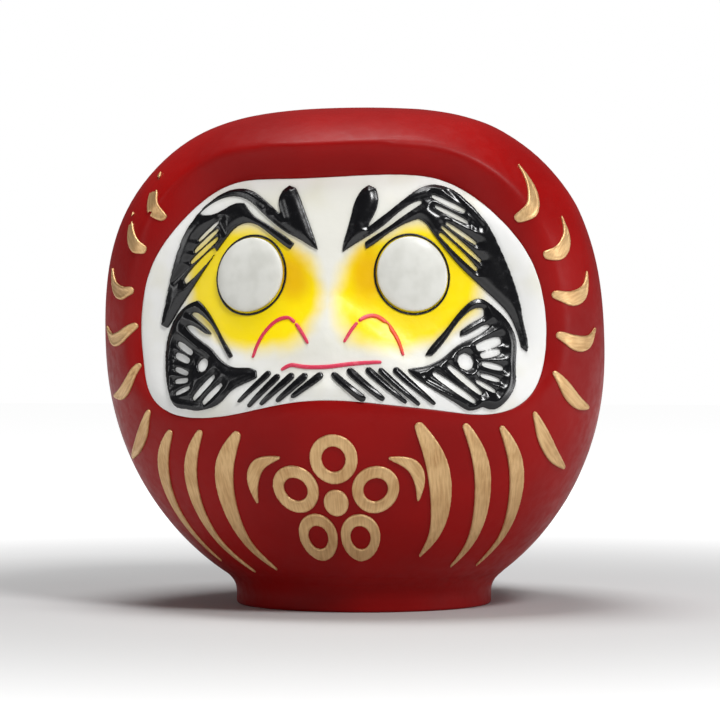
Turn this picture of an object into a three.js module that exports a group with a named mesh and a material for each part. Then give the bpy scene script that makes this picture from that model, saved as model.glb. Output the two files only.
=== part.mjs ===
// Daruma doll: a hollow moulded shell on a round foot, weighted with clay, with a white built-up
// face set in a recess and its features, stripes and belly ornament laid on in thick relief.
// Millimetres, +Z up. The doll faces -Y and stands on z = 0; "left" and "right" are a viewer's.
import * as THREE from 'three';

// ---------------------------------------------------------------- overall form
const WIDTH = 150.8;
const HEIGHT = 150.6;
const FRONT_REACH = 73;
const BACK_REACH = 69.5;
const WIDEST_HEIGHT = 76.3;
const SIDE_ROUNDNESS = 2.69; // superellipse exponents of the upper half
const FRONT_ROUNDNESS = 3.3;
const BACK_ROUNDNESS = 2.1;
const WIDEST_FORWARD = 30; // how far the widest line leans towards the front, high up
const WIDEST_FORWARD_HEIGHT = 115;
const WIDEST_FORWARD_POWER = 0.65;
const WIDEST_FORWARD_LIMIT = 0.6; // share of the front reach that the widest line may take
const FRONT_TAPER = 0.2;

// ---------------------------------------------------------------- shell, foot and weight
const SHELL_WALL = 3;
const FOOT_HEIGHT = 8;
const FOOT_RADIUS = 39;
const FOOT_FLARE = 0.5;
const FOOT_EDGE = 0.9;
const FOOT_EDGE_BULGE = 0.3;
const FOOT_FLOOR = 2.5;
const NECK_LEDGE = 0.5; // how far the shell overhangs the top of the foot
const SHELL_OPENING_RADIUS = 30.3;
const JOINT_GAP = 0.35; // glue line between any two pieces
const WEIGHT_RISE = 16; // how far the clay stands above the shell's seat
const WEIGHT_MOUND = [[1, 0.3], [0.8, 0.75], [0.45, 0.95], [0, 1]]; // shares of radius and rise

// ---------------------------------------------------------------- face recess
const RECESS_DEPTH = 12;
const RECESS_FLOOR_BOTTOM = 58; // sheet height where the floor leaves the belly
const RECESS_FLOOR_RUN = 42;
const RECESS_SIDE_LOSS = 0.35;
const RECESS_SIDE_ANGLE = 52;
const WALL_RUN = 9; // width of the white side wall
const RIM_DEPTH_SIDE = 3;
const RIM_DEPTH_BOTTOM = 1;
const RIM_DEPTH_FROM = 62;
const RIM_DEPTH_TO = 75;
const VISOR_FROM = 98; // sheet heights over which the rim sinks below the visor
const VISOR_TO = 127;
const LIP_WIDTH = 6;
const LIP_POWER = 2;
const VISOR_WIDTH = 9.5;
const VISOR_POWER = 1.15;
const COAT_THICKNESS = 1.2;

// ---------------------------------------------------------------- relief
const RELIEF_GAP = 0.4; // ground left between the skin and what is laid on it
const RELIEF_HEIGHT = 0.9;
const STRIPE_HEIGHT = 0.7;
const LINE_HEIGHT = 0.6;
const FACET = 6; // longest edge of a relief facet

// ---------------------------------------------------------------- eyes
const EYE_HEIGHT_ON_SHEET = 98.9;
const EYE_ANGLES = { left: -22.3, right: 21.6 };
const EYE_HALF_WIDTH = 11.4;
const EYE_HALF_HEIGHT = 10.8;
const EYE_RISE = 2.2;
const EYE_EDGE = 0.6;
const EYE_LINE_WIDTH = 0.7;

// ---------------------------------------------------------------- the drawing sheet
// Everything on the skin is drawn on a sheet wrapped round the form: across in degrees from the
// doll's middle, up in millimetres of a sheet this tall, which stretches with the doll.
const SHEET_HEIGHT = 150.6;
const SHEET_SEAT = 8;
const MM_PER_DEGREE = 1.2;
const SHEET_EYE_HALF_WIDTH = 11.4; // the eyes that the features are drawn round
const SHEET_EYE_HALF_HEIGHT = 10.8;
const EYE_ROOM = 2.4; // how far from such an eye the drawing gives way, in eye radii

// ---------------------------------------------------------------- grid
const MERIDIANS = 56;
const FACE_MIDDLE = [1, 95];
const COAT_RINGS = [0.2, 0.38, 0.54, 0.68, 0.79, 0.87, 0.93, 0.97];
const FLOOR_RINGS = [0.25, 0.48, 0.68, 0.84, 0.94];
const INNER_FACE_RINGS = [0.4, 0.8];
const LIP_OFFSETS = [2, 4.5, 7.2, 9.5, 13];
const BODY_RINGS = 17;
const INNER_RING_STEP = 3; // body rings to each ring of the shell's inner skin
const HALVINGS = 48; // steps of the search for the form's surface
const FOOT_SEGMENTS = 40;
const WEIGHT_SEGMENTS = 28;
const EYE_SEGMENTS = 24;
const EYE_RINGS = [0.3, 0.55, 0.75, 0.9, 0.98, 1];
const EYE_UNDER_RING = 0.5;
const DOT_SEGMENTS = 8;
const OUTLINE_DENSITY = 2; // points of a smoothed outline to each point drawn
const MOUTH_STEPS = 9;
const NOSTRIL_STEPS = 10;
const HAIR_STEPS = 3;
const STRIPE_STEPS = 8;
const LEAF_STEPS = 6;
const TIP_POINTS = 3; // points round each end of a stroke

// ---------------------------------------------------------------- finishes
const RED_LACQUER = { color: 0xb0140f, roughness: 0.45, metalness: 0 };
const FOOT_LACQUER = { color: 0x7a1a1a, roughness: 0.45, metalness: 0 };
const WHITE_COAT = { color: 0xe6e4de, roughness: 0.4, metalness: 0 };
const EYE_WHITE = { color: 0xcfd0ca, roughness: 0.35, metalness: 0 };
const BLACK_GLOSS = { color: 0x14151a, roughness: 0.2, metalness: 0 };
const GOLD_PAINT = { color: 0xc9a067, roughness: 0.35, metalness: 0.8 };
const CRIMSON_LINE = { color: 0xd23b55, roughness: 0.4, metalness: 0 };
const RAW_CLAY = { color: 0xa88c6c, roughness: 0.9, metalness: 0 };

const radians = THREE.MathUtils.degToRad;
const { clamp, lerp, smoothstep } = THREE.MathUtils;

// ================================================================ the form
const halfWidth = WIDTH / 2;
const seatRadius = FOOT_RADIUS + FOOT_FLARE + NECK_LEDGE;

/** Share of a reach that is left at height z; at the seat it gives the seat's radius. */
function share(z, reach, roundness) {
  if (z > WIDEST_HEIGHT) {
    const up = clamp((z - WIDEST_HEIGHT) / (HEIGHT - WIDEST_HEIGHT), 0, 1);
    return (1 - up ** roundness) ** (1 / roundness);
  }
  const lower = (WIDEST_HEIGHT - FOOT_HEIGHT) / Math.sqrt(1 - (seatRadius / reach) ** 2);
  return Math.sqrt(1 - ((WIDEST_HEIGHT - z) / lower) ** 2);
}

/** The level section at height z: its reaches, its widest line and its front's power. */
function section(z) {
  const side = halfWidth * share(z, halfWidth, SIDE_ROUNDNESS);
  const front = FRONT_REACH * share(z, FRONT_REACH, FRONT_ROUNDNESS);
  const back = BACK_REACH * share(z, BACK_REACH, BACK_ROUNDNESS);
  const rise = clamp((z - FOOT_HEIGHT) / (WIDEST_FORWARD_HEIGHT - FOOT_HEIGHT), 0, 1);
  const ramp = rise ** WIDEST_FORWARD_POWER;
  const widest = -Math.min(WIDEST_FORWARD * ramp, WIDEST_FORWARD_LIMIT * front);
  return { side, front, back, widest, power: 1 + FRONT_TAPER * ramp };
}

/** Point of the smooth form at an angle (degrees from the front) and a height. */
function formPoint(angle, z) {
  const { side, front, back, widest, power } = section(z);
  const cosine = Math.cos(radians(angle));
  const y = cosine > 0
    ? widest - (front + widest) * cosine ** power
    : widest - (back - widest) * cosine;
  return new THREE.Vector3(side * Math.sin(radians(angle)), y, z);
}

/** Outward normal of the smooth form. */
function formNormal(angle, z) {
  const step = 0.2;
  const across = formPoint(angle + step, z).sub(formPoint(angle - step, z));
  const up = formPoint(angle, z + step).sub(formPoint(angle, z - step));
  return across.cross(up).normalize();
}

/** Whether a point lies inside the smooth form. */
function insideForm(point) {
  if (point.z >= HEIGHT) {
    return false;
  }
  const { side, front, back, widest, power } = section(point.z);
  const forward = widest - point.y;
  const cosine = forward > 0
    ? (forward / (front + widest)) ** (1 / power)
    : forward / (back - widest);
  return (point.x / side) ** 2 + cosine ** 2 < 1;
}

const formCentre = new THREE.Vector3(0, 0, WIDEST_HEIGHT);

/** Point of the smooth form in a direction from its centre. */
function formAlong(direction) {
  let near = 0;
  let far = WIDTH + HEIGHT;
  for (let halving = 0; halving < HALVINGS; halving += 1) {
    const middle = (near + far) / 2;
    if (insideForm(formCentre.clone().addScaledVector(direction, middle))) {
      near = middle;
    } else {
      far = middle;
    }
  }
  return formCentre.clone().addScaledVector(direction, near);
}

/** Height on the doll of a height on the sheet. */
function sheetToDoll(height) {
  const stretch = (HEIGHT - FOOT_HEIGHT) / (SHEET_HEIGHT - SHEET_SEAT);
  return FOOT_HEIGHT + (height - SHEET_SEAT) * stretch;
}

// ================================================================ the face's outline
// Anticlockwise for a viewer, from the middle of the chin: [degrees, sheet height].
const RIM = [
  [4, 62.8], [13.9, 61.6], [25.9, 60], [36.8, 58.5], [45.7, 60.2], [51.6, 65], [56.1, 74], [57.1, 83],
  [56.3, 93], [53.3, 105], [48.9, 114], [42.8, 121.6], [34.4, 126.4], [24.2, 127.8], [12.5, 127.8],
  [-0.1, 127.3], [-11.7, 126.9], [-23.3, 126.9], [-33, 126.2], [-40.4, 122.8], [-44.9, 117], [-48.4, 110],
  [-51.1, 103], [-53.4, 93], [-54.4, 84], [-53.4, 75.5], [-51.2, 67.5], [-47.8, 62.3], [-41.7, 58.6],
  [-32.8, 57.4], [-22.9, 58.4], [-12.9, 61], [-5, 62.6],
];

/** Sheet position as a flat vector in millimetres. */
function flat([angle, height]) {
  return new THREE.Vector2(angle * MM_PER_DEGREE, height);
}

/** Closed smooth curve through sheet positions, in flat millimetres. */
function smoothLoop(positions, count) {
  const points = positions.map((position) => {
    const { x, y } = flat(position);
    return new THREE.Vector3(x, y, 0);
  });
  const curve = new THREE.CatmullRomCurve3(points, true, 'centripetal');
  return curve.getSpacedPoints(count).slice(0, count).map(({ x, y }) => new THREE.Vector2(x, y));
}

const rim = smoothLoop(RIM, MERIDIANS);
const rimOutward = rim.map((point, index) => {
  const next = rim[(index + 1) % MERIDIANS];
  const previous = rim[(index + MERIDIANS - 1) % MERIDIANS];
  const along = next.clone().sub(previous).normalize();
  return new THREE.Vector2(along.y, -along.x);
});
const faceMiddle = flat(FACE_MIDDLE);

/** Distance of a flat point from the rim, positive inside it. */
function insideRim(point) {
  let nearest = Infinity;
  let inside = false;
  for (let index = 0; index < MERIDIANS; index += 1) {
    const start = rim[index];
    const end = rim[(index + 1) % MERIDIANS];
    const edge = end.clone().sub(start);
    const along = clamp(point.clone().sub(start).dot(edge) / edge.lengthSq(), 0, 1);
    nearest = Math.min(nearest, point.distanceTo(start.clone().addScaledVector(edge, along)));
    const crosses = (start.y > point.y) !== (end.y > point.y);
    if (crosses && point.x < start.x + (edge.x * (point.y - start.y)) / edge.y) {
      inside = !inside;
    }
  }
  return inside ? nearest : -nearest;
}

// Soft forms modelled on the recess floor: [degrees, sheet height, half width, half height, rise].
const FACE_FORMS = [
  [0, 83, 8, 11, 3.6], // nose
  [-11.2, 79, 7, 6.5, 2.4], // nose wings
  [11.2, 79, 7, 6.5, 2.4],
  [0, 66, 26, 4.5, 1.6], // chin
];

/** How far the finished skin lies below the smooth form at a flat position. */
function skinDepth(point) {
  const angle = point.x / MM_PER_DEGREE;
  const fall = clamp((point.y - RECESS_FLOOR_BOTTOM) / RECESS_FLOOR_RUN, 0, 1);
  const sideLoss = RECESS_SIDE_LOSS * (angle / RECESS_SIDE_ANGLE) ** 2;
  const floor = RECESS_DEPTH * Math.sin((fall * Math.PI) / 2) * (1 - sideLoss);
  const visor = smoothstep(point.y, VISOR_FROM, VISOR_TO);
  const lowRim = smoothstep(point.y, RIM_DEPTH_FROM, RIM_DEPTH_TO);
  const openRim = lerp(RIM_DEPTH_BOTTOM, RIM_DEPTH_SIDE, lowRim);
  const rimDepth = lerp(openRim, floor, visor);
  const inside = insideRim(point);
  if (inside < 0) {
    const width = lerp(LIP_WIDTH, VISOR_WIDTH, visor);
    const power = lerp(LIP_POWER, VISOR_POWER, visor);
    return rimDepth * (1 - clamp(-inside / width, 0, 1)) ** power;
  }
  const onFloor = smoothstep(inside, 0, WALL_RUN);
  let rise = 0;
  for (const [formAngle, height, halfAcross, halfUp, peak] of FACE_FORMS) {
    const across = (point.x - formAngle * MM_PER_DEGREE) / halfAcross;
    const up = (point.y - height) / halfUp;
    rise += peak * Math.exp(-(across ** 2) - up ** 2);
  }
  return lerp(rimDepth, floor, onFloor) - rise * onFloor;
}

/** Point a given lift above (or, if negative, below) the finished skin. */
function skin(point, lift) {
  const angle = point.x / MM_PER_DEGREE;
  const z = sheetToDoll(point.y);
  const inward = new THREE.Vector3(-Math.sin(radians(angle)), Math.cos(radians(angle)), 0);
  return formPoint(angle, z)
    .addScaledVector(inward, skinDepth(point))
    .addScaledVector(formNormal(angle, z), lift);
}

// ================================================================ mesh builders
/**
 * Solid from closed rings of points; the first and last entries are single points. From the ring
 * at turnRow on, the facets are cut the other way, so that a skin which runs back inwards is
 * faceted like one that runs outwards under it.
 */
function ringStack(rings, turnRow = Infinity) {
  const positions = [];
  const starts = rings.map((ring) => {
    const start = positions.length / 3;
    ring.forEach((point) => positions.push(point.x, point.y, point.z));
    return start;
  });
  const indices = [];
  for (let row = 0; row + 1 < rings.length; row += 1) {
    const count = Math.max(rings[row].length, rings[row + 1].length);
    for (let column = 0; column < count; column += 1) {
      const next = (column + 1) % count;
      const inner = rings[row].length === 1
        ? [starts[row], starts[row]]
        : [starts[row] + column, starts[row] + next];
      const outer = rings[row + 1].length === 1
        ? [starts[row + 1], starts[row + 1]]
        : [starts[row + 1] + column, starts[row + 1] + next];
      const turned = row >= turnRow;
      if (outer[0] !== outer[1]) {
        indices.push(inner[turned ? 1 : 0], outer[0], outer[1]);
      }
      if (inner[0] !== inner[1]) {
        indices.push(inner[0], outer[turned ? 0 : 1], inner[1]);
      }
    }
  }
  const geometry = new THREE.BufferGeometry();
  geometry.setAttribute('position', new THREE.Float32BufferAttribute(positions, 3));
  geometry.setIndex(indices);
  geometry.computeVertexNormals();
  return geometry;
}

/** Splits every edge longer than a limit, in step on both of its sides. */
function refine(points, triangles, limit) {
  let current = triangles;
  for (;;) {
    const middles = new Map();
    const middle = (first, second) => {
      if (points[first].distanceTo(points[second]) <= limit) {
        return -1;
      }
      const key = `${Math.min(first, second)}_${Math.max(first, second)}`;
      if (!middles.has(key)) {
        middles.set(key, points.length);
        points.push(points[first].clone().lerp(points[second], 0.5));
      }
      return middles.get(key);
    };
    const next = [];
    for (const [a, b, c] of current) {
      const corners = [a, b, c];
      const cuts = [middle(a, b), middle(b, c), middle(c, a)];
      const cutCount = cuts.filter((cut) => cut >= 0).length;
      if (cutCount === 3) {
        next.push([a, cuts[0], cuts[2]], [cuts[0], b, cuts[1]], [cuts[2], cuts[1], c], cuts);
      } else if (cutCount === 2) {
        const whole = cuts.indexOf(-1);
        const [p, q, r] = [0, 1, 2].map((turn) => corners[(whole + turn) % 3]);
        const [qr, rp] = [1, 2].map((turn) => cuts[(whole + turn) % 3]);
        next.push([r, rp, qr], [p, q, qr], [p, qr, rp]);
      } else if (cutCount === 1) {
        const cut = cuts.findIndex((value) => value >= 0);
        const [p, q, r] = [0, 1, 2].map((turn) => corners[(cut + turn) % 3]);
        next.push([p, cuts[cut], r], [cuts[cut], q, r]);
      } else {
        next.push(corners);
      }
    }
    current = next;
    if (middles.size === 0) {
      return current;
    }
  }
}

/** Slab of a height that lies on the finished skin, from flat anticlockwise triangles. */
function slab(points, faces, height) {
  const directed = new Set(faces.flatMap(([a, b, c]) => [`${a}_${b}`, `${b}_${c}`, `${c}_${a}`]));
  const count = points.length;
  const positions = [];
  for (const lift of [RELIEF_GAP + height, RELIEF_GAP]) {
    for (const point of points) {
      positions.push(...skin(point, lift).toArray());
    }
  }
  const indices = [];
  for (const [a, b, c] of faces) {
    indices.push(a, b, c, count + c, count + b, count + a);
    for (const [from, to] of [[a, b], [b, c], [c, a]]) {
      if (!directed.has(`${to}_${from}`)) {
        indices.push(to, from, count + from, to, count + from, count + to);
      }
    }
  }
  const geometry = new THREE.BufferGeometry();
  geometry.setAttribute('position', new THREE.Float32BufferAttribute(positions, 3));
  geometry.setIndex(indices);
  geometry.computeVertexNormals();
  return geometry;
}

/** Raised patch with a flat outline and holes. */
function patch(outline, holes, height) {
  const contour = THREE.ShapeUtils.isClockWise(outline) ? outline.toReversed() : outline;
  const windows = holes.map((hole) => {
    return THREE.ShapeUtils.isClockWise(hole) ? hole : hole.toReversed();
  });
  const points = [...contour, ...windows.flat()].map((point) => point.clone());
  const faces = refine(points, THREE.ShapeUtils.triangulateShape(contour, windows), FACET);
  return slab(points, faces, height);
}

/** Where a drawn point comes to lie, once it has made room for the eyes at their own size. */
function besideEyes(point) {
  const moved = point.clone();
  for (const angle of Object.values(EYE_ANGLES)) {
    const fromEye = point.clone().sub(flat([angle, EYE_HEIGHT_ON_SHEET]));
    const reach = Math.hypot(
      fromEye.x / SHEET_EYE_HALF_WIDTH,
      fromEye.y / SHEET_EYE_HALF_HEIGHT,
    );
    const near = 1 - smoothstep(reach, 1, EYE_ROOM);
    moved.x += near * fromEye.x * (EYE_HALF_WIDTH / SHEET_EYE_HALF_WIDTH - 1);
    moved.y += near * fromEye.y * (EYE_HALF_HEIGHT / SHEET_EYE_HALF_HEIGHT - 1);
  }
  return moved;
}

/** Points round one end of a stroke, anticlockwise from one edge to the other. */
function strokeTip(centre, forward, half) {
  const left = new THREE.Vector2(-forward.y, forward.x);
  return Array.from({ length: TIP_POINTS }, (_, index) => {
    const turn = Math.PI * ((index + 1) / (TIP_POINTS + 1) - 0.5);
    return centre.clone()
      .addScaledVector(forward, half * Math.cos(turn))
      .addScaledVector(left, half * Math.sin(turn));
  });
}

/** Raised brush stroke along a spine of [degrees, sheet height, width], with rounded ends. */
function stroke(spine, steps, height) {
  const points = spine.map(([angle, sheetHeight, width]) => {
    const { x, y } = besideEyes(flat([angle, sheetHeight]));
    return new THREE.Vector3(x, y, width);
  });
  const curve = new THREE.CatmullRomCurve3(points, false, 'centripetal');
  const edges = [];
  const tips = [];
  const faces = [];
  for (let step = 0; step <= steps; step += 1) {
    const at = curve.getPoint(step / steps);
    const along = curve.getTangent(step / steps).setZ(0).normalize();
    const half = at.z / 2;
    const centre = new THREE.Vector2(at.x, at.y);
    const side = new THREE.Vector2(along.y, -along.x).multiplyScalar(half);
    edges.push(centre.clone().add(side), centre.clone().sub(side));
    const forward = new THREE.Vector2(along.x, along.y);
    if (step === 0) {
      tips.push(...strokeTip(centre, forward.clone().negate(), half));
    } else {
      const right = step * 2;
      faces.push([right - 2, right, right + 1], [right - 2, right + 1, right - 1]);
    }
    if (step === steps) {
      tips.push(...strokeTip(centre, forward, half));
    }
  }
  const lastLeft = edges.length - 1;
  const ends = [[0, 1, edges.length], [lastLeft, lastLeft - 1, edges.length + TIP_POINTS]];
  for (const [hub, start, firstTip] of ends) {
    for (let index = 0; index < TIP_POINTS; index += 1) {
      const before = index === 0 ? start : firstTip + index - 1;
      faces.push([hub, before, firstTip + index]);
    }
  }
  return slab([...edges, ...tips], faces, height);
}

/** Slot between two sheet positions, widest in its middle. */
function slot([fromAngle, fromHeight, toAngle, toHeight, width]) {
  const from = flat([fromAngle, fromHeight]);
  const to = flat([toAngle, toHeight]);
  const along = to.clone().sub(from);
  const side = new THREE.Vector2(along.y, -along.x).normalize().multiplyScalar(width / 2);
  const shape = [[0, 0.6], [0.25, 1], [0.75, 1], [1, 0.6]];
  const place = ([reach, half], sign) => from.clone()
    .addScaledVector(along, reach)
    .addScaledVector(side, sign * half);
  return [
    ...shape.map((point) => place(point, 1)),
    ...shape.toReversed().map((point) => place(point, -1)),
  ];
}

/** Ellipse on the sheet, in flat millimetres. */
function ellipse(centre, halfAcross, halfUp, segments) {
  const middle = flat(centre);
  return Array.from({ length: segments }, (_, index) => {
    const turn = (index / segments) * Math.PI * 2;
    return new THREE.Vector2(
      middle.x + halfAcross * Math.cos(turn),
      middle.y + halfUp * Math.sin(turn),
    );
  });
}

/** Named mesh with a material of its own. */
function piece(name, geometry, finish) {
  const mesh = new THREE.Mesh(geometry, new THREE.MeshStandardMaterial(finish));
  mesh.name = name;
  return mesh;
}

// ================================================================ shell and face coat
/** Ring of the rim drawn in towards the face's middle by a share, then pushed below the skin. */
function faceRing(reach, lift, inset = 0) {
  return rim.map((point, index) => {
    const at = faceMiddle.clone().lerp(point, reach).addScaledVector(rimOutward[index], -inset);
    return skin(at, lift);
  });
}

/** Ring a distance outside the rim, on the finished skin or below it. */
function lipRing(offset, lift) {
  return rim.map((point, index) => {
    return skin(point.clone().addScaledVector(rimOutward[index], offset), lift);
  });
}

const seatDirection = new THREE.Vector3(seatRadius, 0, FOOT_HEIGHT - WIDEST_HEIGHT).normalize();
const seatMapRadius = seatDirection.x / (1 + seatDirection.z);

/** Multiplies two complex numbers held as vectors. */
function times(first, second) {
  return new THREE.Vector2(
    first.x * second.x - first.y * second.y,
    first.x * second.y + first.y * second.x,
  );
}

/** Divides two complex numbers held as vectors. */
function over(first, second) {
  return times(first, new THREE.Vector2(second.x, -second.y)).divideScalar(second.lengthSq());
}

/** Direction from the form's centre to a point, seen from below on a flat map. */
function toMap(point) {
  const direction = point.clone().sub(formCentre).normalize();
  return new THREE.Vector2(direction.x, direction.y).divideScalar(1 + direction.z);
}

const mapMiddle = toMap(skin(faceMiddle, 0));
const mapMiddleMirror = new THREE.Vector2(mapMiddle.x, -mapMiddle.y);
const unity = new THREE.Vector2(1, 0);

/** Moves the face's middle to the map's middle and keeps the seat's circle where it is. */
function centreOnFace(place) {
  const below = unity.clone().sub(times(mapMiddleMirror, place).divideScalar(seatMapRadius ** 2));
  return over(place.clone().sub(mapMiddle), below);
}

/** Undoes centreOnFace. */
function uncentre(place) {
  const below = unity.clone().add(times(mapMiddleMirror, place).divideScalar(seatMapRadius ** 2));
  return over(place.clone().add(mapMiddle), below);
}

/** Rings that spread from the last lip ring over the head and belly to the foot's seat. */
function bodyRings() {
  const rings = Array.from({ length: BODY_RINGS }, () => []);
  for (const start of lipRing(LIP_OFFSETS.at(-1), 0)) {
    const from = centreOnFace(toMap(start));
    const growth = seatMapRadius / from.length();
    for (let ring = 1; ring <= BODY_RINGS; ring += 1) {
      const place = uncentre(from.clone().multiplyScalar(growth ** (ring / BODY_RINGS)));
      if (ring === BODY_RINGS) {
        place.setLength(seatRadius);
        rings[ring - 1].push(new THREE.Vector3(place.x, place.y, FOOT_HEIGHT));
      } else {
        const spread = place.lengthSq();
        const direction = new THREE.Vector3(2 * place.x, 2 * place.y, 1 - spread);
        rings[ring - 1].push(formAlong(direction.divideScalar(1 + spread)));
      }
    }
  }
  return rings;
}

/** The inner skin's rings, a wall's thickness under every few body rings. */
function underRings(rings) {
  const under = [];
  for (let row = 1; row < rings.length - 2; row += INNER_RING_STEP) {
    under.push(rings[row].map((point, column) => {
      const next = rings[row][(column + 1) % MERIDIANS];
      const previous = rings[row][(column + MERIDIANS - 1) % MERIDIANS];
      const along = next.clone().sub(previous);
      const outward = rings[row + 1][column].clone().sub(rings[row - 1][column]);
      return point.clone().addScaledVector(outward.cross(along).normalize(), -SHELL_WALL);
    }));
  }
  return under;
}

function bodyShell() {
  const floorLift = -COAT_THICKNESS - JOINT_GAP;
  const body = bodyRings();
  const seat = body.at(-1);
  const opening = seat.map((point) => {
    const edge = new THREE.Vector2(point.x, point.y).setLength(SHELL_OPENING_RADIUS);
    return new THREE.Vector3(edge.x, edge.y, FOOT_HEIGHT);
  });
  return ringStack([
    [skin(faceMiddle, floorLift)],
    ...FLOOR_RINGS.map((reach) => faceRing(reach, floorLift)),
    faceRing(1, floorLift),
    faceRing(1, 0),
    ...LIP_OFFSETS.map((offset) => lipRing(offset, 0)),
    ...body,
    opening,
    ...underRings(body).reverse(),
    lipRing(LIP_OFFSETS.at(-1), -SHELL_WALL),
    lipRing(LIP_OFFSETS.at(-2), -SHELL_WALL),
    faceRing(1, floorLift - SHELL_WALL),
    ...INNER_FACE_RINGS.toReversed().map((reach) => faceRing(reach, floorLift - SHELL_WALL)),
    [skin(faceMiddle, floorLift - SHELL_WALL)],
  ]);
}

function faceCoat() {
  const top = [
    [skin(faceMiddle, 0)],
    ...COAT_RINGS.map((reach) => faceRing(reach, 0)),
    faceRing(1, 0, JOINT_GAP),
  ];
  const underside = [
    faceRing(1, -COAT_THICKNESS, JOINT_GAP),
    ...FLOOR_RINGS.toReversed().map((reach) => faceRing(reach, -COAT_THICKNESS)),
    [skin(faceMiddle, -COAT_THICKNESS)],
  ];
  return ringStack([...top, ...underside], top.length);
}

/** Turned solid about the doll's axis from [radius, height] pairs. */
function turned(profile, segments) {
  const points = profile.map(([radius, height]) => new THREE.Vector2(radius, height));
  return new THREE.LatheGeometry(points, segments).rotateX(Math.PI / 2);
}

/** Shallow round dish under the shell, with a softened lower edge. */
function footCup() {
  const top = FOOT_HEIGHT - JOINT_GAP;
  const softening = FOOT_EDGE * FOOT_EDGE_BULGE;
  return turned([
    [0, 0],
    [FOOT_RADIUS - FOOT_EDGE, 0],
    [FOOT_RADIUS - softening, softening],
    [FOOT_RADIUS, FOOT_EDGE],
    [FOOT_RADIUS + FOOT_FLARE, top],
    [SHELL_OPENING_RADIUS, top],
    [SHELL_OPENING_RADIUS, FOOT_FLOOR],
    [0, FOOT_FLOOR],
  ], FOOT_SEGMENTS);
}

/** Lump of clay that fills the dish and the shell's opening. */
function clayWeight() {
  const radius = SHELL_OPENING_RADIUS - JOINT_GAP;
  const floor = FOOT_FLOOR + JOINT_GAP;
  return turned([
    [0, floor],
    [radius, floor],
    ...WEIGHT_MOUND.map(([reach, rise]) => [radius * reach, FOOT_HEIGHT + WEIGHT_RISE * rise]),
  ], WEIGHT_SEGMENTS);
}

// ================================================================ eyes
/** Low dome that stands on the coat. */
function eyeDome(angle) {
  const centre = [angle, EYE_HEIGHT_ON_SHEET];
  const ring = (reach, rise) => ellipse(
    centre,
    EYE_HALF_WIDTH * reach,
    EYE_HALF_HEIGHT * reach,
    EYE_SEGMENTS,
  ).map((point) => skin(point, RELIEF_GAP + rise));
  const domeRise = (reach) => EYE_EDGE + (EYE_RISE - EYE_EDGE) * Math.sqrt(1 - reach ** 2);
  return ringStack([
    [skin(flat(centre), RELIEF_GAP + EYE_RISE)],
    ...EYE_RINGS.map((reach) => ring(reach, domeRise(reach))),
    ring(1, 0),
    ring(EYE_UNDER_RING, 0),
    [skin(flat(centre), RELIEF_GAP)],
  ]);
}

/** Thin painted line round an eye. */
function eyeLine(angle) {
  const centre = [angle, EYE_HEIGHT_ON_SHEET];
  const loop = (grow) => ellipse(
    centre,
    EYE_HALF_WIDTH + grow,
    EYE_HALF_HEIGHT + grow,
    EYE_SEGMENTS,
  );
  return patch(loop(JOINT_GAP + EYE_LINE_WIDTH), [loop(JOINT_GAP)], LINE_HEIGHT);
}

// ================================================================ brows and whiskered cheeks
// Outlines are [degrees, sheet height]; slots are [from degrees, from height, to degrees,
// to height, width].
const BROW_LEFT = [
  [-14, 124.7], [-16, 123.4], [-16.5, 119.3], [-15, 116.2], [-13.3, 114.2], [-16.1, 117],
  [-20, 120], [-25.8, 123.4], [-32.1, 124], [-37.5, 121.6], [-40.9, 117.4], [-43.2, 112],
  [-44.8, 106.2], [-46.6, 98.5], [-47.9, 90.5], [-48.4, 84.4], [-47.2, 83.2], [-43.8, 89],
  [-41.6, 92.5], [-37.5, 99], [-33.4, 105.5], [-30.7, 109.8], [-28.1, 113.2], [-23.5, 114],
  [-16.7, 109.9], [-11.1, 106], [-10, 107.2], [-18.1, 113.2], [-24, 116.4], [-27.8, 120],
  [-30.7, 119.6], [-36.1, 116.6], [-41, 116.6], [-37.5, 120.4], [-32.1, 122], [-26.3, 120.6],
  [-19.1, 115.4], [-13.3, 111.2], [-8.9, 109], [-3.5, 105.8], [-4.9, 109.8], [-6.2, 113.2],
  [-8.6, 118.4], [-10.6, 122.4], [-12, 124.2],
];
const BROW_LEFT_SLOTS = [
  [-34.2, 114.6, -39.8, 108.8, 1.4],
  [-33.9, 112.2, -40.6, 105.6, 1.7],
  [-33.5, 109.8, -41.4, 102.4, 1.7],
  [-33.8, 106.4, -42.8, 97, 2.8],
];
const BROW_RIGHT = [
  [10.8, 124.6], [8.4, 123.2], [6.3, 119.6], [5.2, 115], [3.8, 109.8], [2.7, 105.2], [6.5, 107.6],
  [9.8, 109.6], [14.7, 113], [19.5, 117], [24.4, 119.8], [27.3, 120.2], [20.5, 115.8], [15.1, 112],
  [8.5, 107.2], [9.2, 106], [15.7, 110.6], [21.5, 113.8], [25.8, 114.6], [27.7, 111.2],
  [30.5, 106.8], [34.8, 101], [40.6, 95], [45, 90.6], [47.6, 87.4], [49.3, 82], [50.1, 76.4],
  [51.5, 77.2], [51.2, 84], [50.7, 91], [49.1, 98.5], [46.5, 106.5], [44.1, 113], [41, 118.4],
  [37.3, 122.8], [31.1, 124.8], [25.7, 123.4], [21.2, 120.6], [15.2, 116.2], [11.6, 113.6],
  [9.4, 111.8], [11.2, 114.6], [13, 117.8], [13.7, 120.8], [12.9, 123.6],
];
const BROW_RIGHT_SLOTS = [
  [29.6, 121.4, 38.6, 116.8, 1.8],
  [29.9, 118.4, 39, 113.5, 1.5],
  [32.3, 113.6, 40.4, 107.5, 1.4],
  [30.8, 112.6, 41, 102.4, 1.4],
  [30, 110.6, 39.6, 100, 1.8],
];
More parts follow.
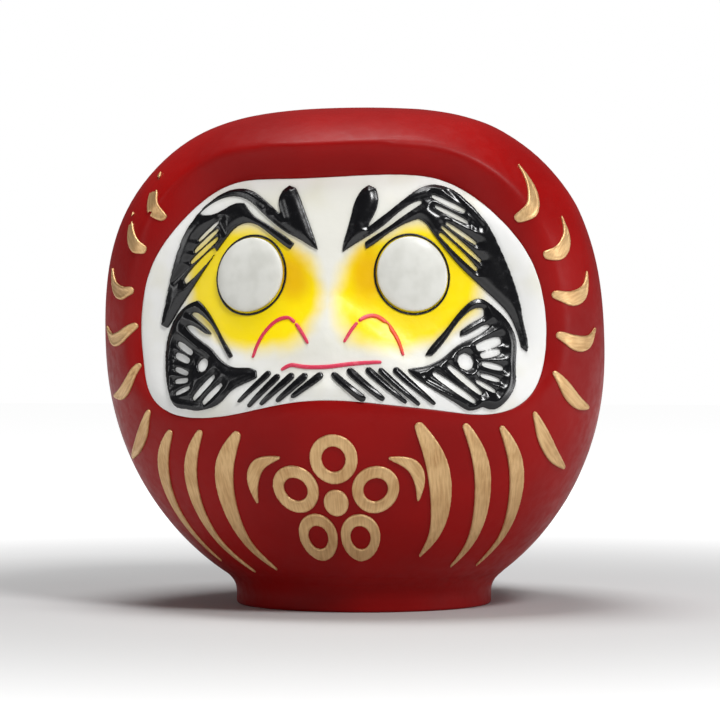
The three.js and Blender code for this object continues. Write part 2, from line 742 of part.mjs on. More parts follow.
const CHEEK_LEFT = [
  [-37.6, 91.7], [-42.4, 89.4], [-44.8, 86], [-46, 80.6], [-45, 73.4], [-42.5, 66.4],
  [-39.1, 60.6], [-35.4, 60.2], [-32.4, 59.6], [-25.8, 61.8], [-22.5, 66.2], [-16.5, 69.8],
  [-17.7, 72], [-23.8, 72.4], [-28, 74.9], [-31.3, 78.1], [-33.3, 79.2], [-35.8, 80.7],
  [-39.2, 83], [-40.6, 84.2], [-38.5, 84.5], [-34.9, 82.7], [-32.5, 81.4], [-31.6, 82],
  [-33.2, 83.4], [-36.4, 85.8], [-39.6, 88], [-37.5, 88.3], [-35.1, 86.9], [-32.1, 84.4],
  [-28.9, 80.1], [-26.3, 76.3], [-24.6, 74.4], [-24.3, 75.6], [-27.2, 79.4], [-29.9, 83.2],
  [-33.1, 87.5], [-35.9, 90.5],
];
const CHEEK_LEFT_SLOTS = [
  [-42.3, 79.4, -36.5, 76.2, 1.8],
  [-42.3, 76, -36.9, 74, 2],
  [-41.5, 72, -36.5, 70.4, 1.5],
  [-40.7, 68.2, -36.1, 68.6, 1.5],
  [-39.7, 64.6, -35.2, 66.6, 1.5],
  [-28.4, 70, -33.6, 63, 2.1],
  [-25.8, 67.6, -30.6, 61.8, 2],
];
const CHEEK_LEFT_DOT = [-32.6, 73, 2];
const CHEEK_RIGHT = [
  [39.6, 92.2], [44.6, 88.4], [47.7, 84.2], [48.5, 79], [47.1, 73], [46.3, 67.8], [42.7, 62.4],
  [39.4, 59.8], [36.6, 61], [33.6, 59.6], [28.8, 63], [22.9, 67.6], [18.7, 71.4], [19.4, 72.2],
  [22.4, 72.4], [27.8, 75], [31.1, 78], [33.3, 79.5], [36.6, 80.8], [39.3, 82.3], [42, 84.6],
  [40.4, 84.6], [37.3, 83], [33.6, 81.1], [32.4, 81.3], [32.8, 82.3], [36.2, 84.9], [40.4, 87.3],
  [40.2, 89.4], [37, 88.8], [32.5, 84.7], [28.6, 79.4], [24.5, 75.2], [23.4, 75.8], [25.5, 78.8],
  [29.4, 83.2], [33.3, 88], [36.6, 91],
];
const CHEEK_RIGHT_SLOTS = [
  [44.1, 80.2, 37, 77.8, 2.8],
  [43.5, 77, 37.8, 75.6, 2.2],
  [37.8, 73.4, 43.5, 72, 1.8],
  [37, 70.2, 42.1, 68.6, 1.5],
  [35.6, 68.6, 40.4, 65.4, 1.5],
  [29, 72.8, 36.6, 64.8, 2],
  [25.1, 70.8, 34.8, 62.4, 2],
];
const CHEEK_RIGHT_DOT = [33.6, 74, 2.5];

/** Brow or cheek: a broad black patch with the ground showing through its slots. */
function blackPatch(outline, slots, dot) {
  const holes = slots.map(slot);
  if (dot) {
    const [angle, height, radius] = dot;
    holes.push(ellipse([angle, height], radius, radius, DOT_SEGMENTS));
  }
  const edge = smoothLoop(outline, Math.round(outline.length * OUTLINE_DENSITY));
  return patch(edge.map(besideEyes), holes.map((hole) => hole.map(besideEyes)), RELIEF_HEIGHT);
}

// ================================================================ strokes
// Spines of brush strokes: [degrees, sheet height, width] at each point.
const NOSTRIL_LINES = {
  left: [[-18.7, 75.4, 0.9], [-17.5, 80.6, 1.1], [-14.3, 85.6, 1.1], [-10.3, 86.8, 1.1],
    [-6.8, 83, 1.1], [-4.8, 79.4, 0.9]],
  right: [[4.2, 79.8, 0.9], [7.3, 85.6, 1.1], [11.4, 87.4, 1.2], [14.9, 84.6, 1.2],
    [17.1, 80.2, 1.1], [18.1, 76, 0.9]],
};
const MOUTH_LINE = [[-10.5, 71.8, 1], [-8.5, 73.1, 1.2], [-6, 72.5, 1.2], [0, 72.4, 1.2],
  [6, 73.4, 1.2], [12.5, 73.8, 1]];
const BEARD_HAIRS = {
  left: [
    [[-14, 70.5, 2], [-20.4, 62.7, 1.2]],
    [[-11.6, 69.6, 2.1], [-17.8, 61.4, 1.4]],
    [[-8.2, 69.8, 2.3], [-14.7, 62, 1.4]],
    [[-5, 69.8, 2.3], [-10.7, 63, 1.6]],
    [[-1.4, 70, 2.3], [-7.2, 64.2, 1.6]],
  ],
  right: [
    [[2, 70.2, 2], [8.2, 63.6, 2.5]],
    [[5.6, 71.2, 2.3], [12.7, 63.6, 1.9]],
    [[9.9, 71.4, 2.3], [17.9, 62.6, 1.4]],
    [[12.7, 71.4, 1.9], [20.9, 62, 1.4]],
    [[16.3, 71.4, 2.3], [24.5, 62.2, 1.4]],
  ],
};
const GOLD_STRIPES = {
  left: [
    [[-61.5, 130, 0.8], [-57.2, 124.5, 4.2], [-53, 119.1, 4.4], [-49.5, 116, 2.6]],
    [[-64.5, 117.9, 0.8], [-61.4, 112.3, 3.6], [-56.3, 108, 4.2], [-53.1, 106.6, 3]],
    [[-70.4, 101.5, 0.8], [-66.4, 96.2, 3.6], [-60.4, 94, 4.2], [-56, 94.6, 2.6]],
    [[-72.9, 84.4, 0.8], [-67.1, 80.4, 3.6], [-59.8, 81.2, 4.2], [-55.4, 84.2, 2.4]],
    [[-53.7, 72.6, 2], [-56.9, 67.6, 4.2], [-63.1, 64.2, 3.8], [-69.8, 63.6, 1.2]],
    [[-49.4, 59, 2], [-53.7, 53.6, 4.4], [-61.2, 48.4, 3.6], [-70.1, 45.1, 1.2]],
    [[-42.3, 53, 2.4], [-49, 44.6, 5.2], [-54.1, 33, 5], [-55.1, 22.4, 3.2], [-52.7, 14.6, 0.9]],
    [[-32.2, 53.2, 2.4], [-38.1, 43.6, 5], [-41.7, 32, 5], [-42.2, 20, 3.2], [-36.7, 11.8, 0.9]],
    [[-21.7, 52.6, 3], [-27, 43.6, 6.4], [-29.6, 32, 6.2], [-29.5, 20, 4], [-24.5, 13, 1]],
  ],
  right: [
    [[59.7, 130.9, 0.8], [59.3, 124.3, 4.2], [55.8, 118, 4.6], [51.7, 115, 3]],
    [[68.2, 115.9, 0.8], [67.4, 110.1, 3.8], [62.1, 105.4, 4.4], [57, 104.4, 3]],
    [[75, 100, 0.8], [72.1, 94.6, 3.8], [64.8, 92, 4.6], [58.7, 93, 2.8]],
    [[77.7, 83.6, 0.8], [72.7, 79.6, 4], [65, 79.2, 4.8], [59.5, 81.4, 2.6]],
    [[57.6, 70.4, 2], [62.5, 65.4, 4.8], [68.3, 61.8, 4], [75, 60.4, 1.4]],
    [[51.5, 58.8, 1.8], [55.6, 52.6, 4.6], [61.9, 46.6, 4.2], [69.7, 42.8, 1.4]],
    [[42.2, 54.8, 2], [48.5, 45, 5.2], [53.1, 33, 5.4], [55.7, 22, 3.4], [53.4, 14, 0.9]],
    [[32.6, 55.4, 2.4], [38, 45, 5.2], [41.8, 32, 5.6], [43.6, 21, 4], [41.3, 14, 0.9]],
    [[21.3, 55.4, 3], [26.3, 45, 6.6], [29.3, 33, 6.8], [29.9, 24, 4.6], [27.3, 17.6, 1]],
  ],
};

// ================================================================ belly ornament
// A plum blossom in thick brush strokes, with a leaf to each side.
const BLOSSOM_CENTRE = [1.6, 33.4];
const BLOSSOM_PETALS = 5;
const PETAL_DISTANCE = 12.7;
const PETAL_HALF_WIDTH = 7;
const PETAL_HALF_LENGTH = 7.3;
const PETAL_STROKE = 3.6;
const PETAL_SEGMENTS = 18;
const BLOSSOM_HEART = 4;
const LEAVES = {
  left: [[-11.6, 46.4, 1], [-17, 44.6, 4], [-19.8, 39.6, 4], [-20, 33.4, 1]],
  right: [[14.8, 46.4, 1], [20.2, 44.6, 4], [22.6, 40, 3.6], [22.8, 34.4, 1]],
};

/** One petal: a rounded loop of brush stroke pointing away from the blossom's heart. */
function petal(index) {
  const turn = Math.PI / 2 + (index / BLOSSOM_PETALS) * Math.PI * 2;
  const outward = new THREE.Vector2(Math.cos(turn), Math.sin(turn));
  const across = new THREE.Vector2(-outward.y, outward.x);
  const middle = flat(BLOSSOM_CENTRE).addScaledVector(outward, PETAL_DISTANCE);
  const loop = (inset) => Array.from({ length: PETAL_SEGMENTS }, (_, step) => {
    const angle = (step / PETAL_SEGMENTS) * Math.PI * 2;
    return middle.clone()
      .addScaledVector(outward, (PETAL_HALF_LENGTH - inset) * Math.cos(angle))
      .addScaledVector(across, (PETAL_HALF_WIDTH - inset) * Math.sin(angle));
  });
  return patch(loop(0), [loop(PETAL_STROKE)], STRIPE_HEIGHT);
}

// ================================================================ assembly
const doll = new THREE.Group();
const face = new THREE.Group();
const gold = new THREE.Group();
doll.add(face, gold);

doll.add(piece('body_shell', bodyShell(), RED_LACQUER));
doll.add(piece('foot_cup', footCup(), FOOT_LACQUER));
doll.add(piece('clay_weight', clayWeight(), RAW_CLAY));
face.add(piece('face_coat', faceCoat(), WHITE_COAT));
face.add(piece('eyebrow_left', blackPatch(BROW_LEFT, BROW_LEFT_SLOTS), BLACK_GLOSS));
face.add(piece('eyebrow_right', blackPatch(BROW_RIGHT, BROW_RIGHT_SLOTS), BLACK_GLOSS));
const cheekLeft = blackPatch(CHEEK_LEFT, CHEEK_LEFT_SLOTS, CHEEK_LEFT_DOT);
face.add(piece('cheek_left', cheekLeft, BLACK_GLOSS));
const cheekRight = blackPatch(CHEEK_RIGHT, CHEEK_RIGHT_SLOTS, CHEEK_RIGHT_DOT);
face.add(piece('cheek_right', cheekRight, BLACK_GLOSS));
face.add(piece('mouth_line', stroke(MOUTH_LINE, MOUTH_STEPS, LINE_HEIGHT), CRIMSON_LINE));

for (const side of ['left', 'right']) {
  face.add(piece(`eye_${side}`, eyeDome(EYE_ANGLES[side]), EYE_WHITE));
  face.add(piece(`eye_line_${side}`, eyeLine(EYE_ANGLES[side]), BLACK_GLOSS));
  const nostril = stroke(NOSTRIL_LINES[side], NOSTRIL_STEPS, LINE_HEIGHT);
  face.add(piece(`nostril_line_${side}`, nostril, CRIMSON_LINE));
  BEARD_HAIRS[side].forEach((spine, index) => {
    const hair = stroke(spine, HAIR_STEPS, RELIEF_HEIGHT);
    face.add(piece(`beard_hair_${side}_${index + 1}`, hair, BLACK_GLOSS));
  });
  GOLD_STRIPES[side].forEach((spine, index) => {
    const stripe = stroke(spine, STRIPE_STEPS, STRIPE_HEIGHT);
    gold.add(piece(`gold_stripe_${side}_${index + 1}`, stripe, GOLD_PAINT));
  });
  gold.add(piece(`belly_leaf_${side}`, stroke(LEAVES[side], LEAF_STEPS, STRIPE_HEIGHT), GOLD_PAINT));
}

for (let index = 0; index < BLOSSOM_PETALS; index += 1) {
  gold.add(piece(`belly_petal_${index + 1}`, petal(index), GOLD_PAINT));
}
const heart = ellipse(BLOSSOM_CENTRE, BLOSSOM_HEART, BLOSSOM_HEART, PETAL_SEGMENTS);
gold.add(piece('belly_heart', patch(heart, [], STRIPE_HEIGHT), GOLD_PAINT));

export default doll;
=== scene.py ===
"""Daruma doll: a red moulded doll with a white recessed face and thick relief painting.

Each piece takes its shape from the fixed frame and gets its painted surface here. Lengths are in
metres; the doll faces -Y, and left and right are those of a viewer who faces it.
"""
import logging
import math
from collections.abc import Callable, Iterator, Mapping, Sequence
from contextlib import contextmanager
from dataclasses import dataclass, field
from enum import Enum
from typing import Any

import bmesh
import bpy
import numpy as np
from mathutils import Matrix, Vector
from mathutils.bvhtree import BVHTree
from mathutils.kdtree import KDTree


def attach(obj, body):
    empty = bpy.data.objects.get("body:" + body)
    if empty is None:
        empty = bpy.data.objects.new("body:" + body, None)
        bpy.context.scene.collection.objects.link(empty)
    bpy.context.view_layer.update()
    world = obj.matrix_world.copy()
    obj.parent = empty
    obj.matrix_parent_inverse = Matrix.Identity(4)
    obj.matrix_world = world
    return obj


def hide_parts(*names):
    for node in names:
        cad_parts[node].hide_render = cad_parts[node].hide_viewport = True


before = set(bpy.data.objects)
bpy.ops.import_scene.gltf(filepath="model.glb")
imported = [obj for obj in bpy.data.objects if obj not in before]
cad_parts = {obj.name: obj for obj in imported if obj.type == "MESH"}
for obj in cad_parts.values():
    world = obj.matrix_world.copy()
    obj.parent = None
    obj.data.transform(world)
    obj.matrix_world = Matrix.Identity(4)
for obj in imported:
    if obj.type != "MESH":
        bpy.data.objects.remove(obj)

MM = 0.001
BODY = "root"
MERGE_DISTANCE = 0.01 * MM
QUAD_FACE_ANGLE = math.radians(50)
QUAD_SHAPE_ANGLE = math.radians(60)
EDGE_POINT_SPACING = 0.3 * MM
FACING_UP = 0.6

log = logging.getLogger("daruma")
Colour = tuple[float, float, float]


def paint(red: int, green: int, blue: int) -> Colour:
    """Turns a colour as seen on a paint card into linear light.

    Args:
        red: Red, 0 to 255.
        green: Green, 0 to 255.
        blue: Blue, 0 to 255.

    Returns:
        The colour in linear light, 0 to 1.
    """
    def linear(value: int) -> float:
        """Undoes the display curve for one channel."""
        share = value / 255
        return share / 12.92 if share <= 0.04045 else ((share + 0.055) / 1.055) ** 2.4

    return linear(red), linear(green), linear(blue)


# ============================================================================ shader wiring
class Wire:
    """A shader socket that takes part in arithmetic."""

    def __init__(self, board: "PaintBoard", socket: bpy.types.NodeSocket) -> None:
        """Keeps the board that new Math nodes go on and the socket itself."""
        self.board = board
        self.socket = socket

    def _math(self, operation: str, first: Any, second: Any) -> "Wire":
        """Adds one Math node on two values or wires."""
        return self.board.add("ShaderNodeMath", {"operation": operation}, {0: first, 1: second})

    def __add__(self, other: Any) -> "Wire":
        """Sum."""
        return self._math("ADD", self, other)

    __radd__ = __add__

    def __sub__(self, other: Any) -> "Wire":
        """Difference."""
        return self._math("SUBTRACT", self, other)

    def __rsub__(self, other: Any) -> "Wire":
        """Difference the other way round."""
        return self._math("SUBTRACT", other, self)

    def __mul__(self, other: Any) -> "Wire":
        """Product."""
        return self._math("MULTIPLY", self, other)

    __rmul__ = __mul__

    def __truediv__(self, other: Any) -> "Wire":
        """Quotient."""
        return self._math("DIVIDE", self, other)

    def __pow__(self, other: Any) -> "Wire":
        """Power."""
        return self._math("POWER", self, other)

    def at_least(self, other: Any) -> "Wire":
        """The larger of two values."""
        return self._math("MAXIMUM", self, other)

    def fade(self, start: float, end: float) -> "Wire":
        """Eases from 0 at start to 1 at end.

        Args:
            start: Value that gives 0.
            end: Value that gives 1; it may be the smaller one.

        Returns:
            The eased share.
        """
        low, high = min(start, end), max(start, end)
        share = self.board.add(
            "ShaderNodeMapRange",
            {"interpolation_type": "SMOOTHSTEP"},
            {"Value": self, "From Min": low, "From Max": high},
        )
        return share if start < end else 1 - share


class PaintBoard:
    """Node tree of a material or of the air, with a short way to add and join its nodes."""

    def __init__(self, owner: bpy.types.Material | bpy.types.World) -> None:
        """Clears the owner's node tree."""
        owner.use_nodes = True
        self.owner = owner
        self.tree = owner.node_tree
        self.tree.nodes.clear()

    @classmethod
    def named(cls, name: str) -> "PaintBoard":
        """Starts a new material."""
        return cls(bpy.data.materials.new(name))

    def add(
        self,
        kind: str,
        settings: Mapping[str, Any],
        sockets: Mapping[str | int, Any],
        out: str | int | None = 0,
    ) -> Wire | None:
        """Adds a node, sets it up and joins its sockets.

        Args:
            kind: Blender's node type.
            settings: Node properties; "stops" holds a colour ramp's positions and colours.
            sockets: Values or wires for the node's inputs.
            out: Output to return, or None for a node that ends the tree.

        Returns:
            The chosen output as a wire, if any.
        """
        node = self.tree.nodes.new(kind)
        for key, value in settings.items():
            if key == "stops":
                ramp = node.color_ramp
                while len(ramp.elements) < len(value):
                    ramp.elements.new(0.5)
                for stop, (position, colour) in zip(ramp.elements, value):
                    stop.position = position
                    stop.color = (*colour, 1)
            else:
                setattr(node, key, value)
        for key, value in sockets.items():
            if isinstance(value, Wire):
                self.tree.links.new(value.socket, node.inputs[key])
            elif isinstance(value, tuple) and len(value) == 3 and (
                node.inputs[key].type == "RGBA"
            ):
                node.inputs[key].default_value = (*value, 1)
            else:
                node.inputs[key].default_value = value
        return None if out is None else Wire(self, node.outputs[out])

    def place(self) -> Wire:
        """Object coordinates, in metres on the doll."""
        return self.add("ShaderNodeTexCoord", {}, {}, out="Object")

    def axes(self, vector: Wire) -> tuple[Wire, Wire, Wire]:
        """Splits a vector into its three numbers."""
        parts = self.add("ShaderNodeSeparateXYZ", {}, {"Vector": vector})
        node = parts.socket.node
        return tuple(Wire(self, output) for output in node.outputs)

    def noise(
        self,
        grain: float,
        detail: float = 3,
        stretch: tuple[float, float, float] = (1, 1, 1),
        place: Wire | None = None,
    ) -> Wire:
        """Soft random pattern, about 0.5 in the middle.

        Args:
            grain: Size of its patches, in metres.
            detail: How many finer layers it has.
            stretch: How many times closer it lies along each axis.
            place: Coordinates, if not the object's own.

        Returns:
            The pattern as a number.
        """
        turned = self.add(
            "ShaderNodeMapping", {}, {"Vector": place or self.place(), "Scale": stretch},
        )
        return self.add(
            "ShaderNodeTexNoise",
            {},
            {"Vector": turned, "Scale": 1 / grain, "Detail": detail},
        )

    def mix(self, share: Any, first: Any, second: Any) -> Wire:
        """Blend of two colours by a share of the second."""
        return self.add(
            "ShaderNodeMix", {"data_type": "RGBA"}, {0: share, 6: first, 7: second}, out=2,
        )

    def bump(self, height: Wire, rise: float, under: Wire | None = None) -> Wire:
        """Surface relief from a pattern.

        Args:
            height: Pattern, 0 to 1.
            rise: Height of the relief, in metres.
            under: Relief that this one lies on.

        Returns:
            The bent normal.
        """
        sockets: dict[str | int, Any] = {"Height": height, "Distance": rise, "Strength": 1.0}
        if under:
            sockets["Normal"] = under
        return self.add("ShaderNodeBump", {}, sockets)

    def finish(self, sockets: Mapping[str | int, Any]) -> bpy.types.Material:
        """Joins everything to the surface shader.

        Args:
            sockets: Values or wires for the shader's inputs.

        Returns:
            The finished material.
        """
        surface = self.add("ShaderNodeBsdfPrincipled", {}, sockets)
        self.add("ShaderNodeOutputMaterial", {}, {"Surface": surface}, out=None)
        return self.owner


# ============================================================================ finishes
@dataclass(frozen=True)
class RedLacquer:
    """Sprayed satin red over moulded paper pulp."""

    colour: Colour = paint(146, 4, 3)
    deep: Colour = paint(130, 3, 3)
    roughness: float = 0.42

    def make(self) -> bpy.types.Material:
        """Builds the material.

        Returns:
            The finished material.
        """
        board = PaintBoard.named("red_lacquer")
        cloud = board.noise(34 * MM, 2)
        speck = board.noise(0.9 * MM, 2).fade(0.74, 0.8)
        colour = board.mix(cloud.fade(0.3, 0.7), self.deep, self.colour)
        colour = board.mix(speck * 0.5, colour, self.deep)
        pulp = board.bump(board.noise(5 * MM, 3), 0.16 * MM)
        spray = board.bump(board.noise(0.8 * MM, 2), 0.012 * MM, pulp)
        rough = self.roughness + 0.12 * board.noise(3 * MM, 3).fade(0.35, 0.7)
        return board.finish({
            "Base Color": colour,
            "Roughness": rough,
            "Normal": spray,
            "Coat Weight": 0.04,
            "Coat Roughness": 0.25,
            "Specular IOR Level": 0.13,
        })


@dataclass(frozen=True)
class FaceWhite:
    """White shell-lime coat with yellow sprayed round the eyes."""

    white: Colour = paint(232, 232, 230)
    cream: Colour = paint(216, 213, 190)
    yellow: Colour = paint(246, 218, 0)
    amber: Colour = paint(232, 182, 0)
    eye_height: float = 98.9 * MM
    eye_offsets: tuple[float, float] = (-27.5 * MM, 26.6 * MM)
    halo_inward: float = 4.5 * MM
    halo_drop: float = 3.5 * MM
    halo_tilt: float = 0.12
    core_inward: float = 16 * MM
    drift_grain: float = 9 * MM
    drift: float = 5 * MM

    def make(self) -> bpy.types.Material:
        """Builds the material.

        Returns:
            The finished material.
        """
        board = PaintBoard.named("face_white")
        x, _, z = board.axes(board.place())
        drift = (board.noise(self.drift_grain, 2) - 0.5) * self.drift
        halo = None
        core = None
        for offset in self.eye_offsets:
            inward = -1 if offset > 0 else 1
            across = (x - offset) * inward
            up = z - self.eye_height
            tilted = up + across * self.halo_tilt
            along = (across - self.halo_inward) ** 2 * 0.72
            reach = (along + (tilted + self.halo_drop) ** 2) ** 0.5 + drift
            spray = reach.fade(21 * MM, 14.5 * MM)
            beside = (across - self.core_inward) ** 2 * 1.5
            side = (beside + up ** 2 * 0.7) ** 0.5 + drift
            heavy = side.fade(9 * MM, 2 * MM)
            halo = spray if halo is None else halo.at_least(spray)
            core = heavy if core is None else core.at_least(heavy)
        low = z.fade(70 * MM, 79 * MM)
        halo = halo * low
        colour = board.mix(board.noise(14 * MM, 2).fade(0.45, 0.8) * 0.5, self.white, self.cream)
        wide = (x * x + (z - self.eye_height) ** 2) ** 0.5
        colour = board.mix(wide.fade(48 * MM, 20 * MM) * 0.35, colour, self.cream)
        colour = board.mix(halo, colour, self.yellow)
        colour = board.mix(core * low, colour, self.amber)
        fold = board.bump(board.noise(11 * MM, 2), 0.5 * MM)
        brush = board.bump(board.noise(3.5 * MM, 3), 0.1 * MM, fold)
        return board.finish({
            "Base Color": colour,
            "Roughness": 0.34 + 0.14 * board.noise(2.4 * MM, 2).fade(0.4, 0.7),
            "Normal": brush,
            "Specular IOR Level": 0.25,
            "Coat Weight": 0.08,
            "Coat Roughness": 0.2,
        })


@dataclass(frozen=True)
class EyeWhite:
    """Smooth blank white of the unpainted eyes."""

    white: Colour = paint(214, 214, 208)
    shade: Colour = paint(202, 202, 195)

    def make(self) -> bpy.types.Material:
        """Builds the material.

        Returns:
            The finished material.
        """
        board = PaintBoard.named("eye_white")
        colour = board.mix(board.noise(6 * MM, 2).fade(0.35, 0.7), self.white, self.shade)
        return board.finish({
            "Base Color": colour,
            "Roughness": 0.36 + 0.1 * board.noise(1.6 * MM, 2),
            "Normal": board.bump(board.noise(3 * MM, 2), 0.05 * MM),
            "Coat Weight": 0.15,
            "Coat Roughness": 0.25,
        })


@dataclass(frozen=True)
class BlackRelief:
    """Thick glossy black paint."""

    black: Colour = paint(6, 6, 9)
    rubbed: Colour = paint(18, 18, 23)

    def make(self) -> bpy.types.Material:
        """Builds the material.

        Returns:
            The finished material.
        """
        board = PaintBoard.named("black_gloss")
        worn = board.noise(2.2 * MM, 3).fade(0.5, 0.75)
        ripple = board.bump(board.noise(1.8 * MM, 2), 0.03 * MM)
        return board.finish({
            "Base Color": board.mix(worn * 0.5, self.black, self.rubbed),
            "Roughness": 0.2 + 0.12 * worn,
            "Normal": ripple,
            "Specular IOR Level": 0.5,
        })


@dataclass(frozen=True)
class GoldRelief:
    """Thick metallic gold, laid on with a bristle brush."""

    gold: Colour = paint(226, 190, 138)
    dark: Colour = paint(186, 142, 92)
    bristle: float = 0.55 * MM

    def make(self) -> bpy.types.Material:
        """Builds the material.

        Returns:
            The finished material.
        """
        board = PaintBoard.named("gold_relief")
        brush = board.add("ShaderNodeAttribute", {"attribute_name": "brush"}, {}, out="Vector")
        streak = board.noise(self.bristle, 3, (0.08, 1, 1), brush)
        flake = board.noise(0.25 * MM, 2)
        patch = board.noise(7 * MM, 2)
        shade = streak.fade(0.35, 0.7) * 0.5 + patch.fade(0.35, 0.7) * 0.4
        colour = board.mix(shade, self.gold, self.dark)
        ridge = board.bump(streak, 0.05 * MM)
        grit = board.bump(flake, 0.02 * MM, ridge)
        return board.finish({
            "Base Color": colour,
            "Metallic": 0.72,
            "Roughness": 0.38 + 0.16 * flake.fade(0.3, 0.7),
            "Normal": grit,
        })


@dataclass(frozen=True)
class CrimsonLine:
    """Thin crimson line that turns orange where it thins out."""

    crimson: Colour = paint(206, 44, 78)
    orange: Colour = paint(226, 74, 26)
    worn: Colour = paint(230, 130, 140)
    turn_from: float = 8 * MM
    turn_to: float = 16 * MM

    def make(self) -> bpy.types.Material:
        """Builds the material.

        Returns:
            The finished material.
        """
        board = PaintBoard.named("crimson_line")
        x, _, z = board.axes(board.place())
        warm = x.fade(self.turn_from, self.turn_to) * z.fade(75 * MM, 78 * MM)
        colour = board.mix(warm, self.crimson, self.orange)
        thin = board.noise(1.4 * MM, 3).fade(0.5, 0.75)
        return board.finish({
            "Base Color": board.mix(thin * 0.3, colour, self.worn),
            "Roughness": 0.4 + 0.15 * thin,
            "Normal": board.bump(board.noise(0.9 * MM, 2), 0.04 * MM),
        })


@dataclass(frozen=True)
class RawClay:
    """Dried clay of the weight inside."""

    clay: Colour = paint(168, 140, 108)
    dark: Colour = paint(120, 96, 70)

    def make(self) -> bpy.types.Material:
        """Builds the material.

        Returns:
            The finished material.
        """
        board = PaintBoard.named("raw_clay")
        lump = board.noise(3 * MM, 4)
        return board.finish({
            "Base Color": board.mix(lump.fade(0.35, 0.7), self.clay, self.dark),
            "Roughness": 0.85 + 0.1 * lump,
            "Normal": board.bump(lump, 0.4 * MM),
        })


@dataclass(frozen=True)
class FloorPaint:
    """Pale floor with a painted glow that brightens it away from the doll, like a lit studio
    sweep.
    """

    pale: Colour = (0.58, 0.58, 0.58)
    glow_from: float = 0.1
    glow_to: float = 0.55

    def make(self) -> bpy.types.Material:
        """Builds the material.

        Returns:
            The finished material.
        """
        board = PaintBoard.named("floor_paint")
        x, y, _ = board.axes(board.place())
        # Painted glow: emitted light, 0 near the doll and 1 far out, so the floor glows white
        # though no lamp lights it there.
        painted_glow = ((x * x + y * y) ** 0.5).fade(self.glow_from, self.glow_to)
        return board.finish({
            "Base Color": self.pale,
            "Roughness": 0.75,
            "Emission Color": board.mix(painted_glow, (0, 0, 0), (1, 1, 1)),
            "Emission Strength": 0.9,
        })


# ============================================================================ the bench
class Bench:
    """Modelling steps on one object at a time."""

    @staticmethod
    def pick(piece: bpy.types.Object) -> None:
        """Selects one object alone and makes it active."""
        for other in bpy.context.selected_objects:
            other.select_set(False)
        piece.select_set(True)
        bpy.context.view_layer.objects.active = piece

    @staticmethod
    @contextmanager
    def editing(piece: bpy.types.Object) -> Iterator[bpy.types.Object]:
        """Opens a piece in edit mode with everything selected, and closes it after.

        Args:
            piece: Object to edit.

        Yields:
            The same object.
        """
        Bench.pick(piece)
        bpy.ops.object.mode_set(mode="EDIT")
        bpy.ops.mesh.select_all(action="SELECT")
        yield piece
        bpy.ops.object.mode_set(mode="OBJECT")

    @staticmethod
    def choose(piece: bpy.types.Object, test: Callable[[bmesh.types.BMFace], bool]) -> None:
        """Selects the faces that pass a test, in edit mode.

        Args:
            piece: Object that is open in edit mode.
            test: Says whether a face is chosen.
        """
        bpy.ops.mesh.select_mode(type="FACE")
        bpy.ops.mesh.select_all(action="DESELECT")
        mesh = bmesh.from_edit_mesh(piece.data)
        for face in mesh.faces:
            face.select_set(test(face))
        bmesh.update_edit_mesh(piece.data)

    @staticmethod
    def modify(piece: bpy.types.Object, kind: str, **settings: Any) -> None:
        """Adds a modifier and applies it.

        Args:
            piece: Object to change.
            kind: Blender's modifier type.
            settings: The modifier's own settings.
        """
        Bench.pick(piece)
        modifier = piece.modifiers.new(kind.lower(), kind)
        for key, value in settings.items():
            setattr(modifier, key, value)
        bpy.ops.object.modifier_apply(modifier=modifier.name)

    @staticmethod
    def copy_of(node: str, name: str) -> bpy.types.Object:
        """Copies a node's mesh into a new piece and merges its loose triangles.

        Args:
            node: Name of the CAD node.
            name: Name of the new piece.

        Returns:
            The new piece, with four-sided faces where they fit.
        """
        mesh = bpy.data.objects[node].data.copy()
        mesh.name = name
        mesh.materials.clear()
        piece = bpy.data.objects.new(name, mesh)
        bpy.context.scene.collection.objects.link(piece)
        with Bench.editing(piece):
            bpy.ops.mesh.remove_doubles(threshold=MERGE_DISTANCE)
            bpy.ops.mesh.tris_convert_to_quads(
                face_threshold=QUAD_FACE_ANGLE, shape_threshold=QUAD_SHAPE_ANGLE,
            )
        return piece

    @staticmethod
    def crease(piece: bpy.types.Object, angle: float, amount: float) -> None:
        """Creases every edge that turns by more than an angle.

        Args:
            piece: Object to crease.
            angle: Least turn of a creased edge, in degrees.
            amount: Crease, 0 to 1.
        """
        with Bench.editing(piece):
            bpy.ops.mesh.select_mode(type="EDGE")
            bpy.ops.mesh.select_all(action="DESELECT")
            bpy.ops.mesh.edges_select_sharp(sharpness=math.radians(angle))
            bpy.ops.transform.edge_crease(value=amount)

    @staticmethod
    def group(piece: bpy.types.Object, name: str, test: Callable[[Vector], bool]) -> None:
        """Puts the vertices that pass a test in a vertex group."""
        members = [vertex.index for vertex in piece.data.vertices if test(vertex.co)]
        piece.vertex_groups.new(name=name).add(members, 1, "REPLACE")

    @staticmethod
    def smooth(piece: bpy.types.Object, angle: float = 50) -> None:
        """Shades a piece smooth, up to an angle in degrees."""
        Bench.pick(piece)
        bpy.ops.object.shade_smooth_by_angle(angle=math.radians(angle))

    @staticmethod
    def hand_in(
        piece: bpy.types.Object,
        material: bpy.types.Material,
        slot: str,
        nodes: Sequence[str],
    ) -> bpy.types.Object:
        """slot: The record's material slot; not used.
            nodes: CAD nodes that it stands for.

        Returns:
            The same object.
        """
        piece.data.materials.clear()
        piece.data.materials.append(material)
        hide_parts(*nodes)
        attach(piece, BODY)
        faces = len(piece.data.polygons)
        log.info("%s stands for %s with %d faces", piece.name, ", ".join(nodes), faces)
        return piece


